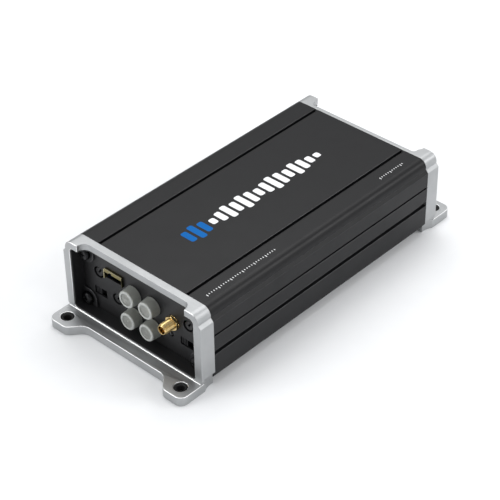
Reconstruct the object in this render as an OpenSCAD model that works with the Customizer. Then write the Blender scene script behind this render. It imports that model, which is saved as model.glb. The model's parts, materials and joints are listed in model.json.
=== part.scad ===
// Compact four-channel car amplifier: an extruded heat sink closed by two cast end brackets,
// with signal jacks and controls at the front (-Y) and power, fuses and speakers at the rear (+Y).
// Millimetres. X runs across, Y along the body, Z up. The feet stand on Z = 0.

/* [Heat sink] */
// Length of the extruded body between the brackets
body_len = 174; // [160:1:260]
// Overall width of the body and brackets
body_w = 100.8; // [100.8:0.1:101.4]
// Height of the top face above the feet
top_z = 50; // [50:0.1:50.5]
// Thickness of the top wall
top_wall = 4.4; // [3.8:0.1:4.6]
// Distance of each top groove from the middle
top_groove_x = 32.1; // [24:0.1:34]
// Width of a top groove
top_groove_w = 2; // [1:0.1:3]
// Depth of the top and side grooves
groove_depth = 2.3; // [1:0.1:2.4]
// Height of the narrow side groove
side_groove_hi = 32.6; // [31:0.1:34]
// Height of the wide side groove
side_groove_lo = 21.6; // [20:0.1:23]

/* [End brackets] */
// Depth of the bracket frame along the body
frame_depth = 9.7; // [9:0.1:12]
// Thickness of the bracket posts
post_w = 5.1; // [5:0.1:5.3]
// Thickness of the foot plate
foot_t = 5.7; // [5:0.1:6]
// Length of the feet beyond the body
foot_reach = 24.8; // [24:0.1:27]
// Distance of the foot holes beyond the body
foot_hole_y = 17.5; // [17:0.1:18]
// Distance of the foot holes from the middle
foot_hole_x = 42.5; // [42:0.1:43]
// Radius of the mounting hole in a grommet
foot_hole_r = 2.25; // [2:0.05:2.6]

/* [Panels and boards] */
// Thickness of the end panels
panel_t = 1.2; // [1:0.1:1.3]
// Thickness of a circuit board
board_t = 1.6; // [1.2:0.1:1.6]
// Height of the main board's underside
board_z = 10; // [10:0.1:10.2]
// Distance of the case screws from the middle
case_screw_x = 40.6; // [40.4:0.1:40.7]

/* [Signal jacks] */
// Middle of the four phono jacks across the panel
jack_mid_x = 0.9; // [0:0.1:1.5]
// Middle of the four phono jacks in height
jack_mid_z = 23; // [22.5:0.1:23.5]
// Spacing of the jacks across
jack_pitch_x = 14; // [13.5:0.1:14]
// Spacing of the jacks in height
jack_pitch_z = 14.6; // [14:0.1:14.8]
// Outer radius of a phono jack's shell
jack_r = 4.15; // [4.1:0.01:4.2]
// How far the jacks stand out of the panel
jack_out = 5.4; // [5:0.1:5.6]

/* [Controls] */
// Radius of a trimmer's rotor
trimmer_r = 3.1; // [2.8:0.05:3.2]
// Travel of a slide switch
switch_travel = 4; // [3:0.1:4.2]
// Turn angle of the trimmer slots at rest
trimmer_angle = 35; // [0:5:90]

/* [Power side] */
// Spacing of the three power terminals
power_pitch = 9.6; // [9:0.1:9.6]
// Radius of the wire hole of a power terminal
power_wire_r = 3; // [2.5:0.1:3]
// Spacing of the two blade fuses
fuse_pitch = 7.6; // [7:0.1:8]

/* [Hidden] */
$fn = 48;
tiny = 0.1;
hw = body_w / 2;
body_y = body_len / 2;
board_top = board_z + board_t;
frame_y = body_y + frame_depth;
panel_y = body_y + panel_t;

// Outer section of body and brackets
shoulder_r = 5.2;
shoulder_x = 43.6;
step_in = 1.6;
side_top_z = 42.2;
skirt_x = hw - 2;
skirt_z = 7.2;
body_bottom = 4.2;

// Inside of the body
cav_x = 45.2;
cav_top = top_z - top_wall;
cover_t = 2;
cover_top = body_bottom + cover_t;
cover_x = 47.2;
boss_r = 4;
screw_lo_z = 11.2;
screw_hi_z = 41;
bore_r = 1.75;
boss_in_x = case_screw_x - 3.6;
boss_top = 14.8;
narrow_groove = 1.3;
wide_groove = 2.9;

// Bracket opening
open_x = hw - post_w;
open_lo = 6.4;
open_hi = 45.8;
open_r = 2.5;
lug_t = 1.5;
lug_r = 5;
bar_depth = 4.5;
bar_arc_r = 4.8;
bar_end_x = 39.3;
relief_z = 8.6;
relief_in = 2.2;
relief_y = 1.7;
relief_r = 10;
ear_front = body_y + foot_reach;
sill_y = body_y + 16.6;
ear_x = 50;
ear_inner_x = 29.5;
ear_corner_r = 4.4;
ear_lean = 6.8;
ear_tip_r = 5;
ear_neck_r = 7;
foot_bore_r = 3.8;

// Panels
fit = 0.15;
lining = 0.6;
ring_gap = 0.05;
pad_r = 5.6;
pad_y = body_y + lug_t;
lining_y = frame_y - 0.5;

// Screws
case_screw_r = 1.7;
case_head_r = 3.8;
case_head_h = 2.5;
case_hole_r = 1.9;
m3_r = 1.45;
m3_head_r = 2.8;

// Front controls
control_y = -78.6;
trimmers = [[-33, 31], [33.2, 30.4], [-19.6, 19.8]];
switches = [[-32.3, 18.2], [31.8, 18.2]];
led = [20.4, 18.4];
trimmer_face_r = 2.65;
media = [-20.6, 34.2];
media_w = 13.2;
media_h = 6.4;
antenna = [22.6, 27.4];
antenna_r = 3.175;
neck_r = 3.1;
washer_h = 0.5;
nut_h = 1.5;
nut_back = -panel_y - washer_h;
nut_front = nut_back - nut_h - 0.05;
antenna_tip = -panel_y - 8.9;
contact_r = 1.6;
jack_wall = 0.6;
jack_root = 5;
lever_w = 4;
lever_h = 4;
jacks = [for (z = [1, -1], x = [-1, 1])
    [jack_mid_x + x * jack_pitch_x / 2, jack_mid_z + z * jack_pitch_z / 2]];

// Rear side
power_x = -20.8;
power_w = 3 * power_pitch;
power_y = 76;
power_out = 95.6;
power_top = 27;
power_screw_y = 92;
power_wire_z = 17.6;
fuse_x = 3.8;
fuse_w = 5.1;
fuse_h = 19.1;
fuse_mid_z = 25.4;
fuse_stop = 82;
fuse_out = 94.4;
blade_x = 0.4;
blade_z = 2.6;
blade_mid = 6.6;
clip_t = 0.8;
holder_back = 66;
holder_out = 90;
speaker_x = 24.6;
speaker_w = 21.6;
speaker_top = 25.6;
speaker_y = 74;
speaker_out = 95;

// Boards and output stage
spacer_places = [for (x = [-31, 31], y = [-66, 4, 68]) [x, y]];
main_x = 36.5;
main_y0 = -76.4;
main_y1 = 84;
radio_top = board_top + 4.1;
clamp_z = 27;
toroid_in = 11;
toroid_out = 18;
toroid_h = 10;
wire_d = 1.4;
toroid_at = [0, 20, board_top + toroid_h / 2 + wire_d];

black = [0.09, 0.09, 0.10];
dark = [0.20, 0.20, 0.21];
silver = [0.78, 0.79, 0.80];
gold = [0.85, 0.68, 0.32];
steel = [0.6, 0.6, 0.62];
board_green = [0.07, 0.33, 0.18];
copper = [0.72, 0.42, 0.2];

// ---- Helpers ----

// Extrudes a front-view outline (x, z) along Y, from y0 to y1
module along_y(y0, y1) {
    translate([0, y1, 0])
        rotate([90, 0, 0])
            linear_extrude(y1 - y0)
                children();
}

// A round bar along Y from y0 to y1, about (x, z)
module rod_y(x, z, r, y0, y1) {
    translate([x, y1, z])
        rotate([90, 0, 0])
            cylinder(r = r, h = y1 - y0);
}

// A box given by two corners
module span(x0, x1, y0, y1, z0, z1) {
    translate([x0, y0, z0])
        cube([x1 - x0, y1 - y0, z1 - z0]);
}

// Both sides of X
module both_sides() {
    children();
    mirror([1, 0, 0]) children();
}

// A 2D rectangle with round corners, given by two corners
module round_rect(x0, x1, z0, z1, r) {
    translate([x0 + r, z0]) square([x1 - x0 - 2 * r, z1 - z0]);
    translate([x0, z0 + r]) square([x1 - x0, z1 - z0 - 2 * r]);
    for (x = [x0 + r, x1 - r], z = [z0 + r, z1 - r])
        translate([x, z]) circle(r);
}

// The four case screws, as [x, z]
function case_screws() = [for (x = [-1, 1], z = [screw_lo_z, screw_hi_z]) [x * case_screw_x, z]];

// ---- Heat sink ----

// Right half of the outline that the body and both brackets share, down to z = low
module outer_half(low) {
    translate([0, skirt_z]) square([hw, side_top_z - skirt_z]);
    polygon([[0, side_top_z], [hw, side_top_z], [hw - step_in, side_top_z + 1.8],
        [hw - step_in, top_z - shoulder_r], [0, top_z - shoulder_r]]);
    translate([0, top_z - shoulder_r - tiny]) square([shoulder_x, shoulder_r + tiny]);
    intersection() {
        translate([shoulder_x, top_z - shoulder_r]) circle(shoulder_r);
        translate([shoulder_x - tiny, top_z - shoulder_r - tiny]) square(shoulder_r + 2 * tiny);
    }
    polygon([[0, low], [skirt_x, low], [skirt_x, skirt_z - 2.4], [hw, skirt_z], [0, skirt_z]]);
}

module body_section() {
    difference() {
        both_sides() {
            difference() {
                outer_half(body_bottom);
                translate([top_groove_x - top_groove_w / 2, top_z - groove_depth])
                    square([top_groove_w, groove_depth + 1]);
                translate([hw - groove_depth, side_groove_hi - narrow_groove / 2])
                    square([groove_depth + 1, narrow_groove]);
                translate([hw - groove_depth, side_groove_lo - wide_groove / 2])
                    square([groove_depth + 1, wide_groove]);
                translate([-1, body_bottom - 1]) square([cover_x + 1, cover_top - body_bottom + 1]);
                difference() {
                    translate([-1, cover_top - tiny]) square([cav_x + 1, cav_top - cover_top + tiny]);
                    translate([boss_in_x, cover_top]) square([cav_x - boss_in_x + 1, boss_top - cover_top]);
                    translate([case_screw_x, screw_hi_z]) circle(boss_r);
                    translate([case_screw_x, screw_hi_z]) square([boss_r + 1, boss_r + 1]);
                }
            }
        }
        for (s = case_screws())
            translate(s) circle(bore_r);
    }
}

module heatsink_body() {
    color(black)
        difference() {
            along_y(-body_y, body_y) body_section();
            for (s = cover_screw_places())
                translate([s[0], s[1], cover_top - tiny]) cylinder(r = 1.5, h = 5);
            for (s = clamp_screw_places())
                translate([s[0] * (cav_x - tiny), s[1], s[2]])
                    rotate([0, s[0] * 90, 0])
                        cylinder(r = 1.5, h = 3.6);
        }
}

function cover_screw_places() = [for (x = [-1, 1], y = [-62, 0, 62]) [x * case_screw_x, y]];

module bottom_cover() {
    color(dark)
        difference() {
            span(-cover_x + fit, cover_x - fit, -body_y + 0.2, body_y - 0.2, body_bottom, cover_top);
            for (s = cover_screw_places()) {
                translate([s[0], s[1], body_bottom - tiny]) cylinder(r = 1.6, h = cover_t + 1);
                translate([s[0], s[1], body_bottom - tiny])
                    cylinder(r1 = m3_head_r + 0.15, r2 = 1.6, h = 1.4);
            }
        }
}

module cover_screws() {
    color(steel)
        for (s = cover_screw_places())
            translate([s[0], s[1], body_bottom])
                difference() {
                    union() {
                        cylinder(r = m3_r, h = 6);
                        cylinder(r1 = m3_head_r, r2 = m3_r, h = 1.3);
                    }
                    cross_recess(1.5, 0.9);
                }
}

// A cross recess that opens downwards at the origin
module cross_recess(r, depth) {
    for (a = [0, 90])
        rotate(a)
            translate([-r, -0.3, -tiny])
                cube([2 * r, 0.6, depth + tiny]);
}

// ---- End brackets ----

// Plan of the foot plate of the front bracket, with its two ears
module foot_plan() {
    translate([-ear_x, -sill_y]) square([2 * ear_x, sill_y - body_y]);
    // The ear's slanted inner side starts at the plate and runs along the slant
    start = [ear_inner_x, -sill_y];
    run = [ear_lean, sill_y - ear_front];
    slant = run / norm(run);
    inward = [-slant[1], slant[0]];
    tip = [ear_inner_x + ear_lean + ear_tip_r * (1 - inward[1]) / inward[0], -ear_front + ear_tip_r];
    neck_run = ear_neck_r * (1 - slant[0]) / -slant[1];
    neck_from = start - [neck_run, 0];
    neck_to = start + neck_run * slant;
    neck_mid = neck_from - [0, ear_neck_r];
    both_sides() {
        polygon([start, tip - ear_tip_r * inward, [tip[0], -ear_front],
            [ear_x - ear_corner_r, -ear_front], [ear_x, -ear_front + ear_corner_r], [ear_x, -sill_y]]);
        translate(tip) circle(ear_tip_r);
        translate([ear_x - ear_corner_r, -ear_front + ear_corner_r]) circle(ear_corner_r);
        // Hollow curve between the plate's edge and the slant
        difference() {
            polygon([neck_from, neck_from + [0, 1], start + [3, 1], neck_to + [3, 0], neck_to, neck_mid]);
            translate(neck_mid) circle(ear_neck_r);
        }
    }
}

// Plan of the recess in front of the top bar
module bar_plan() {
    bar_y = body_y + bar_depth;
    in_x = bar_end_x - bar_arc_r;
    translate([-bar_end_x, -frame_y - 1]) square([2 * bar_end_x, frame_y + 1 - bar_y - bar_arc_r]);
    translate([-in_x, -bar_y - bar_arc_r - tiny]) square([2 * in_x, bar_arc_r + tiny]);
    for (s = [-1, 1])
        translate([s * in_x, -bar_y - bar_arc_r]) circle(bar_arc_r);
}

module lug_outline(r) {
    both_sides() {
        for (z = [screw_lo_z, screw_hi_z])
            translate([case_screw_x, z]) circle(r);
        translate([case_screw_x, open_lo]) square([open_x - case_screw_x, screw_lo_z + r - open_lo]);
        translate([case_screw_x - r, open_lo]) square([r + tiny, screw_lo_z - open_lo]);
        translate([case_screw_x, screw_hi_z - r]) square([open_x - case_screw_x, open_hi - screw_hi_z + r]);
        translate([case_screw_x - r, screw_hi_z]) square([r + tiny, open_hi - screw_hi_z]);
    }
}

module bracket() {
    color(silver)
        difference() {
            union() {
                along_y(-frame_y, -body_y)
                    difference() {
                        both_sides() outer_half(0);
                        round_rect(-open_x, open_x, open_lo, open_hi, open_r);
                    }
                linear_extrude(foot_t) foot_plan();
                along_y(-pad_y, -body_y)
                    intersection() {
                        lug_outline(lug_r);
                        round_rect(-open_x - tiny, open_x + tiny, open_lo - tiny, open_hi + tiny, open_r);
                    }
            }
            translate([0, 0, open_hi - 2]) linear_extrude(top_z) bar_plan();
            for (s = case_screws())
                rod_y(s[0], s[1], case_hole_r, -frame_y, -body_y + 1);
            both_sides() {
                translate([foot_hole_x, -body_y - foot_hole_y, -1]) cylinder(r = foot_bore_r, h = foot_t + 2);
                // Hollow relief beside the body, deepest at the back
                translate([hw - relief_in + relief_r, -body_y - relief_y, -1])
                    cylinder(r = relief_r, h = relief_z + 1);
            }
        }
}

module front_bracket() {
    bracket();
}

module rear_bracket() {
    mirror([0, 1, 0]) bracket();
}

module foot_grommets() {
    color([0.05, 0.05, 0.05])
        for (x = [-1, 1], y = [-1, 1])
            translate([x * foot_hole_x, y * (body_y + foot_hole_y), 0])
                difference() {
                    translate([0, 0, 0.4]) cylinder(r = foot_bore_r, h = foot_t - 0.9);
                    translate([0, 0, -1]) cylinder(r = foot_hole_r, h = foot_t + 2);
                }
}

// ---- End panels ----

// Tray-shaped panel that lines the bracket opening. The front one; the rear one is mirrored.
module panel_tray() {
    x1 = open_x - fit;
    z0 = open_lo + fit;
    z1 = open_hi - fit;
    inset = lining + ring_gap;
    difference() {
        union() {
            // Trim ring that lines the opening, clipped on just in front of the plate
            along_y(-lining_y, -panel_y - ring_gap)
                difference() {
                    round_rect(-x1, x1, z0, z1, open_r - fit);
                    round_rect(-x1 + lining, x1 - lining, z0 + lining, z1 - lining, open_r - fit - lining);
                }
            along_y(-panel_y, -body_y) round_rect(-x1, x1, z0, z1, open_r - fit);
            // Pads over the bracket's lugs
            along_y(-pad_y - panel_t, -panel_y + tiny)
                intersection() {
                    lug_outline(pad_r);
                    round_rect(-x1 + inset, x1 - inset, z0 + inset, z1 - inset, open_r - fit - inset);
                }
        }
        // Room for the lugs behind the pads
        along_y(-pad_y, -body_y + 1) lug_outline(lug_r + fit);
        translate([0, fit, z1 - lining - tiny]) linear_extrude(3) bar_plan();
        for (s = case_screws())
            rod_y(s[0], s[1], case_hole_r, -frame_y, -body_y + 1);
    }
}

module front_panel() {
    color(black)
        difference() {
            panel_tray();
            for (j = jacks)
                rod_y(j[0], j[1], jack_r + 0.2, -frame_y, -body_y + 1);
            for (t = trimmers)
                rod_y(t[0], t[1], trimmer_r + 0.4, -frame_y, -body_y + 1);
            for (s = switches)
                along_y(-frame_y, -body_y + 1)
                    translate([s[0] - 4.6, s[1] - 2.5]) square([9.2, 5]);
            rod_y(led[0], led[1], 1.7, -frame_y, -body_y + 1);
            rod_y(antenna[0], antenna[1], antenna_r + 0.1, -frame_y, -body_y + 1);
            along_y(-frame_y, -body_y + 1)
                translate([media[0] - media_w / 2 - 0.2, media[1] - media_h / 2 - 0.2])
                    square([media_w + 0.4, media_h + 0.4]);
        }
}

module rear_panel() {
    color(black)
        difference() {
            mirror([0, 1, 0]) panel_tray();
            span(power_x - power_w / 2 - 0.2, power_x + power_w / 2 + 0.2,
                body_y - 1, frame_y, board_top - 0.2, power_top + 0.2);
            span(fuse_x - 8.6, fuse_x + 8.6, body_y - 1, frame_y, board_top - 0.2, 39.4);
            span(speaker_x - speaker_w / 2 - 0.2, speaker_x + speaker_w / 2 + 0.2,
                body_y - 1, frame_y, board_top - 0.2, speaker_top + 0.2);
        }
}

// Pan-head case screws of the front end
module case_screw_set() {
    head_y = -pad_y - panel_t;
    color([0.1, 0.1, 0.1])
        for (s = case_screws())
            difference() {
                union() {
                    rod_y(s[0], s[1], case_screw_r, head_y, -body_y + 12);
                    rod_y(s[0], s[1], case_head_r, head_y - case_head_h, head_y);
                }
                translate([s[0], head_y - case_head_h, s[1]])
                    rotate([-90, 0, 0]) cross_recess(1.9, 1.5);
            }
}

module front_case_screws() {
    case_screw_set();
}

module rear_case_screws() {
    mirror([0, 1, 0]) case_screw_set();
}

// ---- Phono jacks ----

module rca_block() {
    w = jack_pitch_x + 13;
    h = jack_pitch_z + 13;
    color(black)
        difference() {
            along_y(-body_y + 0.05, control_y)
                round_rect(jack_mid_x - w / 2, jack_mid_x + w / 2,
                    jack_mid_z - h / 2, jack_mid_z + h / 2, 1.5);
            for (j = jacks)
                rod_y(j[0], j[1], jack_r, -body_y - 1, -body_y + jack_root);
            for (j = jacks)
                rod_y(j[0], j[1], contact_r, -body_y - 1, control_y + 1);
        }
}

module rca_shells() {
    color(steel)
        for (j = jacks)
            difference() {
                rod_y(j[0], j[1], jack_r, -panel_y - jack_out, -body_y + jack_root);
                rod_y(j[0], j[1], jack_r - jack_wall, -panel_y - jack_out - 1, -body_y + jack_root - 1.5);
                rod_y(j[0], j[1], contact_r + 0.3, -body_y + 3, -body_y + jack_root + 1);
            }
}

module rca_contacts() {
    color(gold)
        for (j = jacks)
            difference() {
                rod_y(j[0], j[1], contact_r, -panel_y - jack_out + 1, control_y + board_t);
                rod_y(j[0], j[1], 1.1, -panel_y - jack_out, -panel_y + 4);
            }
}

// Push-on dust cap over jack number n: a tapered cup with a dished end
module rca_cap(n) {
    j = jacks[n - 1];
    mouth_y = -panel_y - 0.3;
    end_y = -panel_y - jack_out - 1.1;
    length = mouth_y - end_y;
    color([0.62, 0.64, 0.65, 0.9])
        translate([j[0], mouth_y, j[1]])
            rotate([90, 0, 0])
                difference() {
                    cylinder(r1 = 5.6, r2 = 5.1, h = length);
                    translate([0, 0, -1]) cylinder(r = jack_r + 0.05, h = jack_out + 0.8);
                    translate([0, 0, length - 0.5]) cylinder(r = 3.6, h = 1);
                }
}

module rca_cap_1() { rca_cap(1); }
module rca_cap_2() { rca_cap(2); }
module rca_cap_3() { rca_cap(3); }
module rca_cap_4() { rca_cap(4); }

// ---- Antenna connector ----

module antenna_jack() {
    color(gold)
        difference() {
            union() {
                rod_y(antenna[0], antenna[1], antenna_r, antenna_tip, nut_front);
                rod_y(antenna[0], antenna[1], neck_r, nut_front, -body_y);
                rod_y(antenna[0], antenna[1], 4.6, -body_y, -body_y + 1.6);
                rod_y(antenna[0], antenna[1], 2.4, -body_y + 1.6, control_y - 0.4);
            }
            rod_y(antenna[0], antenna[1], 2.3, antenna_tip - 1, -panel_y - 4);
            rod_y(antenna[0], antenna[1], 1.6, -panel_y - 5, control_y + 1);
        }
}

module antenna_washer() {
    color(gold)
        difference() {
            rod_y(antenna[0], antenna[1], 4.15, nut_back, -panel_y);
            rod_y(antenna[0], antenna[1], neck_r + 0.05, -panel_y - 1, -panel_y + 1);
        }
}

module antenna_nut() {
    color(gold)
        difference() {
            translate([antenna[0], nut_back, antenna[1]])
                rotate([90, 0, 0])
                    rotate(30) cylinder(r = 4.62, h = nut_h, $fn = 6);
            rod_y(antenna[0], antenna[1], neck_r + 0.02, nut_back - 3, nut_back + 1);
        }
}

module antenna_insulator() {
    color([0.93, 0.93, 0.9])
        difference() {
            rod_y(antenna[0], antenna[1], 1.6, -panel_y - 4, control_y - 0.4);
            rod_y(antenna[0], antenna[1], 0.65, -panel_y - 5, control_y + 1);
        }
}

module antenna_pin() {
    color(gold)
        difference() {
            rod_y(antenna[0], antenna[1], 0.65, antenna_tip + 1.5, control_y - 0.4);
            rod_y(antenna[0], antenna[1], 0.4, antenna_tip, -panel_y - 3);
        }
}

// Thin coaxial lead from the connector to the radio module
module antenna_lead() {
    stops = [[22.6, -76.6, 27.4], [22.6, -70, 27.4], [22.6, -62.4, 22], [22.6, -60.4, 17]];
    r = 0.8;
    color([0.1, 0.1, 0.1]) {
        rod_y(antenna[0], antenna[1], r, control_y - 0.4, stops[0][1]);
        for (i = [0 : len(stops) - 2])
            hull() {
                translate(stops[i]) sphere(r, $fn = 12);
                translate(stops[i + 1]) sphere(r, $fn = 12);
            }
        translate([stops[3][0], stops[3][1], radio_top]) cylinder(r = r, h = stops[3][2] - radio_top);
    }
}

// ---- Media port ----

module media_port_shell() {
    wall = 0.35;
    y0 = -panel_y - 1.2;
    x0 = media[0] - media_w / 2;
    x1 = media[0] + media_w / 2;
    z0 = media[1] - media_h / 2;
    z1 = media[1] + media_h / 2;
    color([0.66, 0.64, 0.52])
        difference() {
            span(x0, x1, y0, control_y, z0, z1);
            span(x0 + wall, x1 - wall, y0 - 1, control_y - 0.4, z0 + wall, z1 - wall);
        }
}

module media_port_tongue() {
    color(black) {
        span(media[0] - 5.6, media[0] + 5.6, -panel_y + 0.4, control_y - 0.4, media[1] + 0.5, media[1] + 2.3);
        span(media[0] - 6.2, media[0] + 6.2, control_y - 2.4, control_y - 0.4,
            media[1] - 2.8, media[1] + 2.8);
    }
}

// ---- Trimmers and switches ----

module trimmer_housings() {
    color([0.15, 0.25, 0.5])
        for (t = trimmers)
            difference() {
                along_y(control_y - 6.4, control_y)
                    translate([t[0] - 4.8, t[1] - 4.8]) square(9.6);
                rod_y(t[0], t[1], trimmer_r + 0.05, control_y - 8, control_y - 1.5);
            }
}

// Slotted rotor of trimmer n, which turns in its housing and shows in the panel
module trimmer_rotor(n) {
    t = trimmers[n - 1];
    front = -panel_y + 0.4;
    color(dark)
        difference() {
            union() {
                rod_y(t[0], t[1], trimmer_r, -body_y + 0.6, control_y - 1.6);
                rod_y(t[0], t[1], trimmer_face_r, front, -body_y + 0.7);
            }
            translate([t[0], front, t[1]])
                rotate([0, trimmer_angle, 0])
                    translate([-0.55, -1, -0.55]) cube([1.1, 2.2, trimmer_r + 1]);
        }
}

module trimmer_rotor_1() { trimmer_rotor(1); }
module trimmer_rotor_2() { trimmer_rotor(2); }
module trimmer_rotor_3() { trimmer_rotor(3); }

module switch_frames() {
    y0 = control_y - 6.6;
    color(black)
        for (s = switches)
            difference() {
                span(s[0] - 5.6, s[0] + 5.6, y0, control_y, s[1] - 3.4, s[1] + 3.4);
                span(s[0] - 4.2, s[0] + 4.2, y0 - 1, control_y - 1.5, s[1] - lever_h / 2 - 0.1,
                    s[1] + lever_h / 2 + 0.1);
            }
}

// Lever of switch n, at the left end of its travel
module switch_lever(n) {
    s = switches[n - 1];
    x0 = s[0] - switch_travel / 2 - lever_w / 2;
    color(black) {
        difference() {
            span(x0, x0 + lever_w, -panel_y + 0.5, control_y - 1.6, s[1] - lever_h / 2, s[1] + lever_h / 2);
            // Grip grooves
            for (i = [1 : 3])
                span(x0 + i * lever_w / 4 - 0.2, x0 + i * lever_w / 4 + 0.2,
                    -panel_y, -panel_y + 0.9, s[1] - lever_h, s[1] + lever_h);
        }
    }
}

module switch_lever_1() { switch_lever(1); }
module switch_lever_2() { switch_lever(2); }

module status_led() {
    color([0.55, 0.6, 0.65]) {
        rod_y(led[0], led[1], 1.5, -panel_y + 0.5, control_y);
        translate([led[0], -panel_y + 0.5, led[1]]) sphere(1.5);
    }
}

// ---- Power terminals, fuses and speakers ----

function power_places() = [for (i = [-1 : 1]) power_x + i * power_pitch];

module power_terminal_block() {
    color(black)
        difference() {
            span(power_x - power_w / 2, power_x + power_w / 2, power_y, power_out, board_top, power_top);
            for (x = power_places()) {
                span(x - 4, x + 4, power_y + 4, power_out - 1.2, board_top + 1, 23.6);
                rod_y(x, power_wire_z, power_wire_r + 0.3, power_out - 2, power_out + 1);
                translate([x, power_screw_y, 23]) cylinder(r = 2.7, h = 6);
            }
        }
}

module power_clamps() {
    color(gold)
        for (x = power_places())
            difference() {
                span(x - 4, x + 4, power_y + 4, power_out - 1.2, board_top + 1, 23.6);
                rod_y(x, power_wire_z, power_wire_r, power_y + 6.4, power_out);
                translate([x, power_screw_y, power_wire_z]) cylinder(r = 2.05, h = 8);
            }
}

// Set screw of power terminal n, with a hexagon socket
module power_screw(n) {
    color(steel)
        translate([power_places()[n - 1], power_screw_y, power_wire_z + power_wire_r + 0.1])
            difference() {
                cylinder(r = 2, h = 5.6);
                translate([0, 0, 3.2]) cylinder(r = 1.15, h = 4, $fn = 6);
            }
}

module power_screw_1() { power_screw(1); }
module power_screw_2() { power_screw(2); }
module power_screw_3() { power_screw(3); }

function fuse_places() = [fuse_x - fuse_pitch / 2, fuse_x + fuse_pitch / 2];

module fuse_holder() {
    gap = 0.3;
    color(black)
        difference() {
            span(fuse_x - 8.4, fuse_x + 8.4, holder_back, holder_out, board_top, 39.2);
            for (x = fuse_places()) {
                span(x - fuse_w / 2 - gap, x + fuse_w / 2 + gap, fuse_stop, holder_out + 1,
                    fuse_mid_z - fuse_h / 2 - gap, fuse_mid_z + fuse_h / 2 + gap);
                for (z = [-1, 1])
                    span(x - blade_x - clip_t - 0.2, x + blade_x + clip_t + 0.2, fuse_stop - 9, fuse_stop + 1,
                        fuse_mid_z + z * blade_mid - blade_z, fuse_mid_z + z * blade_mid + blade_z);
            }
        }
}

module fuse_clips() {
    color(copper)
        for (x = fuse_places(), z = [-1, 1], side = [-1, 1])
            translate([x + side * (blade_x + 0.2 + clip_t / 2), 0, fuse_mid_z + z * blade_mid])
                span(-clip_t / 2, clip_t / 2, fuse_stop - 9, fuse_stop - 0.6, -blade_z, blade_z);
}

module fuse_body(n) {
    x = fuse_places()[n - 1];
    color([0.25, 0.65, 0.3])
        difference() {
            span(x - fuse_w / 2, x + fuse_w / 2, fuse_stop + 0.1, fuse_out,
                fuse_mid_z - fuse_h / 2, fuse_mid_z + fuse_h / 2);
            // Waisted grip
            for (s = [-1, 1])
                span(x + s * fuse_w / 2 - 0.7, x + s * fuse_w / 2 + 0.7, fuse_stop + 3, fuse_out - 1.6,
                    fuse_mid_z - 5.4, fuse_mid_z + 5.4);
            for (z = [-1, 1])
                span(x - blade_x, x + blade_x, fuse_stop, fuse_out - 1,
                    fuse_mid_z + z * blade_mid - blade_z, fuse_mid_z + z * blade_mid + blade_z);
        }
}

module fuse_blades(n) {
    x = fuse_places()[n - 1];
    color(steel)
        for (z = [-1, 1])
            span(x - blade_x, x + blade_x, fuse_stop - 7, fuse_out - 1,
                fuse_mid_z + z * blade_mid - blade_z, fuse_mid_z + z * blade_mid + blade_z);
}

module fuse_1_body() { fuse_body(1); }
module fuse_1_blades() { fuse_blades(1); }
module fuse_2_body() { fuse_body(2); }
module fuse_2_blades() { fuse_blades(2); }

module speaker_socket() {
    wall = 1.3;
    x0 = speaker_x - speaker_w / 2;
    x1 = speaker_x + speaker_w / 2;
    color(black)
        difference() {
            span(x0, x1, speaker_y, speaker_out, board_top, speaker_top);
            span(x0 + wall, x1 - wall, speaker_y + 4, speaker_out + 1, board_top + wall, speaker_top - wall);
            // Latch slot in the top wall
            span(speaker_x - 3, speaker_x + 3, speaker_out - 6, speaker_out + 1,
                speaker_top - 2, speaker_top + 1);
            for (p = speaker_pin_places())
                span(p[0] - 0.5, p[0] + 0.5, speaker_y - 1, speaker_y + 5, p[1] - 0.5, p[1] + 0.5);
        }
}

function speaker_pin_places() = [for (i = [-1.5 : 1.5], z = [15.6, 21.6]) [speaker_x + i * 4.8, z]];

module speaker_pins() {
    color(gold)
        for (p = speaker_pin_places())
            span(p[0] - 0.5, p[0] + 0.5, speaker_y - 2, 90, p[1] - 0.5, p[1] + 0.5);
}

// ---- Boards ----

module main_board() {
    color(board_green)
        difference() {
            span(-main_x, main_x, main_y0, main_y1, board_z, board_top);
            for (s = spacer_places)
                translate([s[0], s[1], board_z - 1]) cylinder(r = 1.6, h = board_t + 2);
        }
}

module control_board() {
    color(board_green)
        difference() {
            span(-36, 36, control_y, control_y + board_t, board_top + 0.4, 44.6);
            rod_y(antenna[0], antenna[1], 1.2, control_y - 1, control_y + 3);
            for (j = jacks)
                rod_y(j[0], j[1], contact_r + 0.05, control_y - 1, control_y + 3);
        }
}

// Pin header and socket that join the two boards
module board_link() {
    color(black)
        span(-34, -12, control_y + board_t, control_y + board_t + 5, board_top, board_top + 5);
}

module board_spacers() {
    color(steel)
        for (s = spacer_places)
            translate([s[0], s[1], cover_top])
                difference() {
                    cylinder(r = 2.8, h = board_z - cover_top);
                    translate([0, 0, 0.8]) cylinder(r = 1.5, h = board_z);
                }
}

module board_screws() {
    color(steel)
        for (s = spacer_places)
            translate([s[0], s[1], board_top])
                difference() {
                    union() {
                        cylinder(r = 2.7, h = 1.8);
                        translate([0, 0, -4.4]) cylinder(r = m3_r, h = 4.5);
                    }
                    translate([0, 0, 1.8]) mirror([0, 0, 1]) cross_recess(1.4, 0.9);
                }
}

// ---- Output stage ----

function clamp_screw_places() = [for (s = [-1, 1], y = [-6, 10, 26]) [s, y, clamp_z]];

module mosfets() {
    color(black)
        both_sides()
            for (y = [-14, 2, 18, 34]) {
                span(40.6, 44.8, y - 5, y + 5, 19, 33.6);
                for (dy = [-2.5, 0, 2.5])
                    translate([0, y + dy, 0]) {
                        span(34.6, 43, -0.4, 0.4, 16.4, 17.2);
                        span(42.2, 43, -0.4, 0.4, 16.4, 19);
                        span(34.6, 35.4, -0.4, 0.4, board_top, 17.2);
                    }
            }
}

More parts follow.
